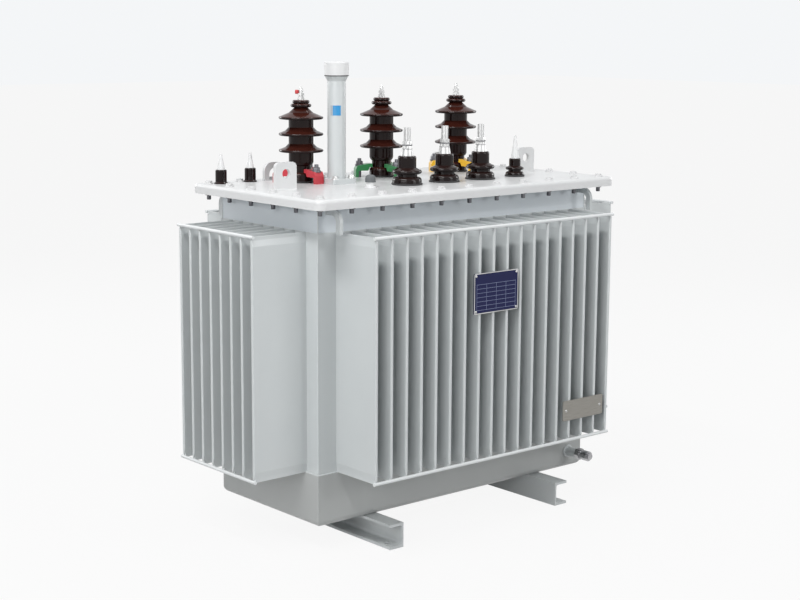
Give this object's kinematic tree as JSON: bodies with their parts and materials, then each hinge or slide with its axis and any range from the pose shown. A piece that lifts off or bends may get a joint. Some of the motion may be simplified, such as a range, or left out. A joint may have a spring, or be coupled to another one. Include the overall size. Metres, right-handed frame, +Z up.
{
  "type": "power transformer",
  "caption": "Oil-filled power transformer: a tank with corrugated cooling walls on channel skids, with porcelain bushings, a filler tube and lifting lugs on its cover.",
  "frame": {"origin": "on the ground, under the middle of the tank", "axes": "+X along the tank, -Y towards the front with the low-voltage bushings and the nameplate, +Z up"},
  "size_m": [1.3184, 0.7524, 1.255],
  "materials": {
    "tank_paint": "semi-gloss light grey paint",
    "cover_paint": "semi-gloss off-white paint",
    "porcelain": "dark brown glaze",
    "bright_metal": "tinned metal",
    "white_plastic": "satin white",
    "rubber_grey": "matt grey",
    "valve_metal": "plated steel",
    "name_blue": "blue coated plate",
    "plate_grey": "brushed plate",
    "phase_red": "red paint",
    "phase_green": "green paint",
    "phase_yellow": "yellow paint"
  },
  "bodies": {
    "root": {"base_channel_left": "tank_paint", "base_channel_right": "tank_paint", "tank_base": "tank_paint", "corrugated_wall_front": "tank_paint", "corrugated_wall_back": "tank_paint", "corrugated_wall_left": "tank_paint", "corrugated_wall_right": "tank_paint", "fin_tie_bars_front": "tank_paint", "fin_tie_bars_back": "tank_paint", "fin_tie_bars_left": "tank_paint", "fin_tie_bars_right": "tank_paint", "tank_neck": "tank_paint", "tank_rim": "tank_paint", "cover": "cover_paint", "tank_hooks_front": "tank_paint", "tank_hooks_back": "tank_paint", "cover_lugs": "cover_paint", "arch_lugs": "cover_paint", "hv_bushing_left": "porcelain", "hv_bushing_middle": "porcelain", "hv_bushing_right": "porcelain", "hv_clamps_left": "phase_red", "hv_clamps_middle": "phase_green", "hv_clamps_right": "phase_yellow", "hv_terminal_left": "bright_metal", "hv_terminal_middle": "bright_metal", "hv_terminal_right": "bright_metal", "lv_bushing_1": "porcelain", "lv_bushing_2": "porcelain", "lv_bushing_3": "porcelain", "lv_bushing_neutral": "porcelain", "lv_terminal_1": "bright_metal", "lv_terminal_2": "bright_metal", "lv_terminal_3": "bright_metal", "lv_terminal_neutral": "white_plastic", "small_bushings": "porcelain", "small_bushing_cones": "white_plastic", "filler_tube": "tank_paint", "filler_cap": "white_plastic", "thermometer_pocket": "white_plastic", "thermometer_cap": "rubber_grey", "drain_stub": "tank_paint", "drain_valve": "valve_metal", "nameplate": "name_blue", "lower_plate": "plate_grey"}
  },
  "joints": []
}
